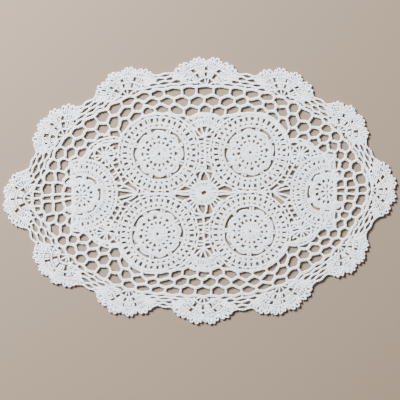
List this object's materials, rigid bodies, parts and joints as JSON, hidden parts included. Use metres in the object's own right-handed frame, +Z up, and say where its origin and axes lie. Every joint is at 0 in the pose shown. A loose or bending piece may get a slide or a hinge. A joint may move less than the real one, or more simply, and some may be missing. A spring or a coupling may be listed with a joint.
{
  "type": "lace doily",
  "caption": "Oval crocheted cotton lace doily with a scalloped edge, round medallions and an open net, lying flat.",
  "frame": {"origin": "middle of the underside of the box round the doily, on the surface it lies on", "axes": "+X along the long way of the oval, +Y along its short way, +Z up, out of the surface it lies on"},
  "size_m": [0.4494, 0.3054, 0.002],
  "materials": {
    "cotton": "matt white cotton thread, crocheted"
  },
  "bodies": {
    "root": {"doily": "cotton"}
  },
  "joints": []
}
